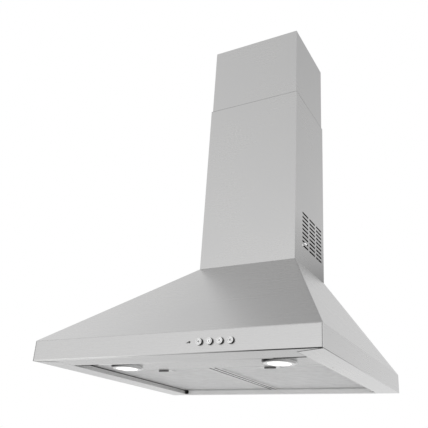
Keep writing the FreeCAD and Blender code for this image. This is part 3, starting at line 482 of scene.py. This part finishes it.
MAT["capacitor_case"] = plastic("mat_capacitor_case", 0.68, 0.35)
MAT["terminal_plastic"] = plastic("mat_terminal_plastic", 0.5, 0.4)
MAT["wire_sheath"] = plastic("mat_wire_sheath", 0.3, 0.4)
MAT["screw_zinc"] = polished("mat_screw_zinc", 0.6, 0.25)

MAT["mark"] = plastic("mat_button_mark", 0.10, 0.5)
# near-black strip material for the painted shade along the chimney seam
MAT["trim"] = plastic("mat_seam_shade_line", 0.20, 0.5)
# near-black material without specular for the strips that stand in for the shade in the gaps
MAT["seal"] = plastic("mat_edge_gap_shade", 0.012, 0.95)
MAT["pale"] = plastic("mat_pale_strip", 0.84, 0.5)
for nd in MAT["seal"].node_tree.nodes:
    if nd.bl_idname == "ShaderNodeBsdfPrincipled":
        nd.inputs["Specular IOR Level"].default_value = 0.0

OVERRIDE = {"front_fascia": "fascia", "lamp_panel": "panel", "filter_divider_bar": "divider", "rear_panel": "rear",
            "upper_chimney_cover": "chimney_upper"}
for name, ob in NODES.items():
    slot_name = ob.data.materials[0].name.split(".")[0] if ob.data.materials else None
    key = OVERRIDE.get(name, slot_name)
    if key not in MAT:
        print("no material for", name, slot_name)
        continue
    for i in range(len(ob.material_slots)):
        ob.material_slots[i].material = MAT[key]


# ---------------------------------------------------------------------------
# lamp lens: frosted and lit
# ---------------------------------------------------------------------------
def lens_material():
    m, net, b = material("mat_lamp_glass")
    co = net.n("ShaderNodeTexCoord").outputs["Object"]
    a = net.noise(co, 1200.0, 2.0, 0.5)
    net.put(b.inputs["Base Color"], two(net, net.span(a, 0.3, 0.7, 0, 1), (0.88, 0.88, 0.86, 1), (0.95, 0.95, 0.94, 1)))
    net.put(b.inputs["Roughness"], net.span(a, 0.3, 0.7, 0.3, 0.42))
    b.inputs["Emission Color"].default_value = (1.0, 0.985, 0.96, 1)
    b.inputs["Emission Strength"].default_value = 1.0
    net.put(b.inputs["Normal"], net.bump(a, 0.05, 0.0002))
    return m


MAT["lamp_glass"] = lens_material()
for n in ("lamp_lens_left", "lamp_lens_right"):
    NODES[n].material_slots[0].material = MAT["lamp_glass"]


# ---------------------------------------------------------------------------
# detail pieces
# ---------------------------------------------------------------------------
def piece(name, verts, faces, body, mat, smooth=False):
    """verts are rim coordinates in millimetres"""
    me = bpy.data.meshes.new(name)
    me.from_pydata([tuple(P(*v)) for v in verts], [], faces)
    me.validate()
    me.update()
    bm = bmesh.new()
    bm.from_mesh(me)
    bmesh.ops.recalc_face_normals(bm, faces=bm.faces)
    bm.to_mesh(me)
    bm.free()
    for q in me.polygons:
        q.use_smooth = smooth
    ob = bpy.data.objects.new(name, me)
    bpy.context.scene.collection.objects.link(ob)
    me.materials.append(MAT[mat])
    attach(ob, body)
    return ob


def expanded(verts, faces, x0, x1, y0, y1, z, lwd, swd, w, t, keep):
    """expanded sheet: zigzag strands whose corners meet, lwd x swd diamonds, strands w wide and t thick"""
    rows = int((y1 - y0 - w) / (swd / 2.0))
    cols = int((x1 - x0) / (lwd / 2.0))
    sx = (x1 - x0) / cols
    sy = (y1 - y0 - w) / rows
    for r in range(rows):
        run = []
        for i in range(cols + 1):
            x = x0 + i * sx
            y = y0 + w / 2.0 + (r + (i + r) % 2) * sy
            if keep(x, y):
                run.append((x, y, (i + r) % 2))
            if (not keep(x, y)) or i == cols:
                if len(run) > 1:
                    base = len(verts)
                    for q, (px, py, up) in enumerate(run):
                        dz = 0.12 if up else -0.12
                        verts.extend([(px, py - w / 2.0, z + dz - t / 2.0), (px, py + w / 2.0, z + dz + 0.1 - t / 2.0),
                                      (px, py + w / 2.0, z + dz + 0.1 + t / 2.0), (px, py - w / 2.0, z + dz + t / 2.0)])
                        if q:
                            a, b = base + 4 * (q - 1), base + 4 * q
                            for k in range(4):
                                faces.append((a + k, a + (k + 1) % 4, b + (k + 1) % 4, b + k))
                    faces.append((base + 3, base + 2, base + 1, base))
                    e = base + 4 * (len(run) - 1)
                    faces.append((e, e + 1, e + 2, e + 3))
                run = []


def corrugated(verts, faces, x0, x1, y0, y1, z, amp, pitch, t, keep):
    """wavy knitted backing as a closed sheet"""
    n = int((y1 - y0) / pitch) * 6
    for xa, xb, ya in ((x0, keep[0], y0), (keep[0], keep[1], keep[2]), (keep[1], x1, y0)):
        base = len(verts)
        k0 = int(round((ya - y0) / (y1 - y0) * n))
        m = n - k0
        for k in range(k0, n + 1):
            y = y0 + (y1 - y0) * k / n
            h = amp * math.sin(2 * math.pi * k / 6.0)
            verts.extend([(xa, y, z + h - t / 2), (xb, y, z + h - t / 2), (xb, y, z + h + t / 2), (xa, y, z + h + t / 2)])
        for k in range(m):
            a, b = base + 4 * k, base + 4 * (k + 1)
            for q in range(4):
                faces.append((a + q, a + (q + 1) % 4, b + (q + 1) % 4, b + q))
        faces.append((base + 3, base + 2, base + 1, base))
        e = base + 4 * m
        faces.append((e, e + 1, e + 2, e + 3))


def filter_screen(side):
    s = 1 if side == "right" else -1
    v, f = [], []

    def keep(x, y):
        return not (abs(x - 123.0) < 19.9 and y < -301.0)

    expanded(v, f, 9.8, 244.3, -326.4, -24.8, 10.95, 8.0, 4.0, 1.5, 0.45, keep)
    corrugated(v, f, 9.8, 244.3, -326.0, -25.0, 12.4, 0.45, 3.1, 0.35, (103.0, 143.0, -300.6))
    expanded(v, f, 9.8, 244.3, -326.4, -24.8, 16.5, 16.0, 8.0, 1.5, 0.6, keep)
    v = [(s * x, y, z) for x, y, z in v]
    ob = piece("filter_screen_" + side, v, f, "filter_" + side, "filter_mesh")
    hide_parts("filter_mesh_" + side)
    return ob


def swept(path, r, seg=8, up=(0, 0, 1)):
    """round wire along a polyline of points in millimetres, closed at both ends"""
    v, f = [], []
    pts = [Vector(p) for p in path]
    u = None
    for i, p in enumerate(pts):
        d = (pts[min(i + 1, len(pts) - 1)] - pts[max(i - 1, 0)]).normalized()
        if u is None:
            u = Vector(up)
        u = (u - d * u.dot(d)).normalized()
        w = d.cross(u)
        for k in range(seg):
            a = 2 * math.pi * k / seg
            v.append(tuple(p + (u * math.cos(a) + w * math.sin(a)) * r))
        if i:
            a0, b0 = (i - 1) * seg, i * seg
            for k in range(seg):
                f.append((a0 + k, a0 + (k + 1) % seg, b0 + (k + 1) % seg, b0 + k))
    f.append(tuple(range(seg - 1, -1, -1)))
    f.append(tuple(range((len(pts) - 1) * seg, len(pts) * seg)))
    return v, f


def coil_spring(side):
    s = 1 if side == "right" else -1
    turns, n, y0, y1, wr, cr = 6.5, 18, -316.4, -304.5, 0.32, 1.78
    path = []
    total = int(turns * n)
    for i in range(total + 1):
        t = i / total
        # closed end turns, open turns between
        e = min(1.0, max(0.0, (t * turns - 0.9) / (turns - 1.8)))
        y = y0 + wr + (y1 - y0 - 2 * wr) * e
        a = 2 * math.pi * t * turns
        path.append((s * (123.0 + cr * math.cos(a)), y + 0.12 * (t - 0.5), 13.8 + cr * math.sin(a)))
    v, f = swept(path, wr, 8, (0, 1, 0.2))
    ob = piece("coil_spring_" + side, v, f, "filter_" + side, "spring_steel", True)
    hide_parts("latch_spring_" + side)
    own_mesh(ob)
    return ob


for side in ("left", "right"):
    filter_screen(side)
    coil_spring(side)


def disc_ring(v, f, cx, cz, y, r0, r1, h, seg=28):
    """flat ring or, with r0 = 0, a disc lying on the button's face, h thick towards the room"""
    b = len(v)
    if r0 > 0:
        for k in range(seg):
            a = 2 * math.pi * k / seg
            ca, sa = math.cos(a), math.sin(a)
            v.extend([(cx + r0 * ca, y, cz + r0 * sa), (cx + r1 * ca, y, cz + r1 * sa),
                      (cx + r1 * ca, y - h, cz + r1 * sa), (cx + r0 * ca, y - h, cz + r0 * sa)])
        for k in range(seg):
            a0, b0 = b + 4 * k, b + 4 * ((k + 1) % seg)
            for q in range(4):
                f.append((a0 + q, a0 + (q + 1) % 4, b0 + (q + 1) % 4, b0 + q))
    else:
        for lev in (y, y - h):
            for k in range(seg):
                a = 2 * math.pi * k / seg
                v.append((cx + r1 * math.cos(a), lev, cz + r1 * math.sin(a)))
        for k in range(seg):
            f.append((b + k, b + (k + 1) % seg, b + seg + (k + 1) % seg, b + seg + k))
        f.append(tuple(range(b + seg - 1, b - 1, -1)))
        f.append(tuple(range(b + seg, b + 2 * seg)))


def bar(v, f, x0, z0, x1, z1, y, h):
    b = len(v)
    c = 0.25
    ring = [(x0 + c, z0), (x1 - c, z0), (x1, z0 + c), (x1, z1 - c), (x1 - c, z1), (x0 + c, z1), (x0, z1 - c), (x0, z0 + c)]
    for lev in (y, y - h):
        for x, z in ring:
            v.append((x, lev, z))
    n = len(ring)
    for k in range(n):
        f.append((b + k, b + (k + 1) % n, b + n + (k + 1) % n, b + n + k))
    f.append(tuple(range(b + n - 1, b - 1, -1)))
    f.append(tuple(range(b + n, b + 2 * n)))


# plain marks on the buttons: a dot in a ring for the light, one to three bars for the speeds
for nm, bx, bars in (("light", 80, 0), ("low_speed", 100, 1), ("medium_speed", 120, 2), ("high_speed", 140, 3)):
    v, f = [], []
    if bars == 0:
        disc_ring(v, f, bx, 19.5, -524.17, 1.35, 2.0, 0.12)
        disc_ring(v, f, bx, 19.5, -524.17, 0.0, 0.8, 0.12)
    for k in range(bars):
        x = bx + (k - (bars - 1) / 2.0) * 1.3
        bar(v, f, x - 0.45, 17.6, x + 0.45, 21.4, -524.17, 0.12)
    piece(nm + "_button_mark", v, f, nm + "_switch", "mark")


def profile_strip(name, path, z0, z1, depth, body, mat):
    """thin strip that follows a path of (x, y, nx, ny) around a cover: z0..z1 high, depth proud of the sheet"""
    v, f = [], []
    for x, y, nx, ny in path:
        v.extend([(x, y, z0), (x + nx * depth, y + ny * depth, z0 + 0.15), (x + nx * depth, y + ny * depth, z1), (x, y, z1 + 0.1)])
    for i in range(len(path) - 1):
        a, b = 4 * i, 4 * (i + 1)
        for k in range(4):
            f.append((a + k, a + (k + 1) % 4, b + (k + 1) % 4, b + k))
    f.append((3, 2, 1, 0))
    e = 4 * (len(path) - 1)
    f.append((e, e + 1, e + 2, e + 3))
    return piece(name, v, f, body, mat)


def around(xo, yf, yb, r=1.5, n=5):
    """path round a cover's three sides with rounded front corners"""
    path = [(-xo, yb, -1.0, 0.0), (-xo, yf + r, -1.0, 0.0)]
    for k in range(1, n):
        a = math.pi + 0.5 * math.pi * k / n
        path.append((-xo + r + r * math.cos(a), yf + r + r * math.sin(a), math.cos(a), math.sin(a)))
    path += [(-xo + r, yf, 0.0, -1.0), (xo - r, yf, 0.0, -1.0)]
    for k in range(1, n):
        a = 1.5 * math.pi + 0.5 * math.pi * k / n
        path.append((xo - r + r * math.cos(a), yf + r + r * math.sin(a), math.cos(a), math.sin(a)))
    path += [(xo, yf + r, 1.0, 0.0), (xo, yb, 1.0, 0.0)]
    return path


# painted shade: a dark strip along the lower cover's top edge stands in for the thin dark line between the covers
profile_strip("chimney_seam_shade_line", around(125.5, -200.5, -0.6), 731.0, 731.8, 0.12, "hood", "trim")


def bar(name, pts, z0, z1, mat="seal"):
    """thin closed strip: outline points in plan, from z0 up to z1"""
    n = len(pts)
    v = [(x, y, z0) for x, y in pts] + [(x, y, z1) for x, y in pts]
    f = [tuple(range(n)), tuple(range(2 * n - 1, n - 1, -1))]
    f += [(k, (k + 1) % n, n + (k + 1) % n, n + k) for k in range(n)]
    return piece(name, v, f, "hood", mat)


# pale strip closing the gap between the filters' rear edges and the rear rim
bar("rear_gap_strip", [(-243.0, -19.4), (243.0, -19.4), (243.0, -17.7), (-243.0, -17.7)], 8.4, 9.4, "pale")

# tick mark beside the indicator lens
tick = [(52.6, 18.2), (57.6, 18.2), (58.4, 21.6)]
piece("indicator_tick", [(x, y, z) for y in (-520.06, -520.0) for x, z in tick],
      [(0, 1, 2), (5, 4, 3), (0, 3, 4, 1), (1, 4, 5, 2), (2, 5, 3, 0)], "hood", "mark")

# painted shade: dark strips along both edges of the divider bar, down to the filters' inner sides, stand in for the
# shade in the gaps
for s, nm in ((-1, "left"), (1, "right")):
    bar("divider_seal_" + nm, [(s * 4.7, -330.0), (s * 7.2, -330.0), (s * 7.2, -18.5), (s * 4.7, -18.5)], 9.2, 9.55)
    # dark strips standing in for the shade in the mitre at the front corners and along the mouth's inner edge
    bar("mitre_seal_" + nm, [(s * 298.7, -519.8), (s * 298.7, -517.4), (s * 249.0, -498.2), (s * 249.0, -500.6)], -0.1, 0.02)
    bar("mouth_seal_" + nm, [(s * 249.4, -498.0), (s * 248.6, -498.0), (s * 248.6, -26.0), (s * 249.4, -26.0)], 8.4, 9.3)
    # dark strip standing in for the shade behind the return's rear edge
    bar("return_seal_" + nm, [(s * 188.0, -457.0), (s * 248.0, -457.6), (s * 248.0, -452.2), (s * 188.0, -452.2)], -0.1, 0.05)


# ---------------------------------------------------------------------------
# studio: white surround, soft light, pale floor
# ---------------------------------------------------------------------------
def make_world():
    w = bpy.data.worlds.new("studio")
    bpy.context.scene.world = w
    w.use_nodes = True
    net = Net(w.node_tree)
    out = net.n("ShaderNodeOutputWorld")
    d = net.n("ShaderNodeTexCoord").outputs["Generated"]
    d = net.vmath("NORMALIZE", d)

    def lobe(c, k, a):
        c = Vector(c).normalized()
        dot = net.vmath("DOT_PRODUCT", d, tuple(c))
        e = net.math("EXPONENT", net.math("MULTIPLY", net.math("SUBTRACT", dot, 1.0), k))
        return net.math("MULTIPLY", e, a)

    v = None
    for c, k, a in LOBES:
        q = lobe(c, k, a)
        v = q if v is None else net.math("ADD", v, q)
    v = net.math("MINIMUM", net.math("MAXIMUM", net.math("ADD", v, BASE), DARKEST), BRIGHTEST)
    comb = net.n("ShaderNodeCombineColor")
    for i in range(3):
        net.put(comb.inputs[i], v)
    soft = net.n("ShaderNodeBackground")
    net.put(soft.inputs[0], comb.outputs[0])
    soft.inputs[1].default_value = 1.0
    plain = net.n("ShaderNodeBackground")
    plain.inputs[0].default_value = (1, 1, 1, 1)
    plain.inputs[1].default_value = 1.0
    lp = net.n("ShaderNodeLightPath")
    mixs = net.n("ShaderNodeMixShader")
    net.t.links.new(lp.outputs["Is Camera Ray"], mixs.inputs[0])
    net.t.links.new(soft.outputs[0], mixs.inputs[1])
    net.t.links.new(plain.outputs[0], mixs.inputs[2])
    net.t.links.new(mixs.outputs[0], out.inputs[0])


DARKEST = 0.04
BRIGHTEST = 1.35
# an even pale room with a large low soft box in front, a smaller one on the left, a dim ceiling and a little light
# coming up off the floor by the wall
BASE = 0.88
LOBES = [
    ((-0.2, -1.0, -0.2), 8.0, 0.5),
    ((-0.9, 0.1, 0.3), 4.0, 0.2),
    ((-0.1, -0.7, 0.7), 5.0, -0.2),
    ((0.1, 0.4, 0.9), 5.0, -0.4),
    ((0.4, 0.9, 0.3), 4.0, -0.1),
    ((0.0, 0.9, -0.4), 4.0, 0.15),
]
make_world()


def area(name, at, look, size, power, size_y=None):
    l = bpy.data.lights.new(name, "AREA")
    l.shape = "RECTANGLE"
    l.size = size
    l.size_y = size_y or size
    l.energy = power
    ob = bpy.data.objects.new(name, l)
    ob.location = at
    ob.rotation_euler = (Vector(look) - Vector(at)).to_track_quat("-Z", "Y").to_euler()
    bpy.context.scene.collection.objects.link(ob)
    return ob


def floor():
    bm = bmesh.new()
    bmesh.ops.create_circle(bm, cap_ends=True, segments=96, radius=6.0)
    me = bpy.data.meshes.new("floor")
    bm.to_mesh(me)
    bm.free()
    ob = bpy.data.objects.new("floor", me)
    ob.location = (0, -0.5, -2.0)
    bpy.context.scene.collection.objects.link(ob)
    m, net, b = material("mat_floor")
    co = net.n("ShaderNodeTexCoord").outputs["Object"]
    a = net.noise(co, 3.0, 2.0, 0.5)
    net.put(b.inputs["Base Color"], two(net, a, grey(0.80), grey(0.84)))
    b.inputs["Roughness"].default_value = 0.9
    me.materials.append(m)


floor()

vs = bpy.context.scene.view_settings
vs.view_transform = "Standard"
vs.look = "None"
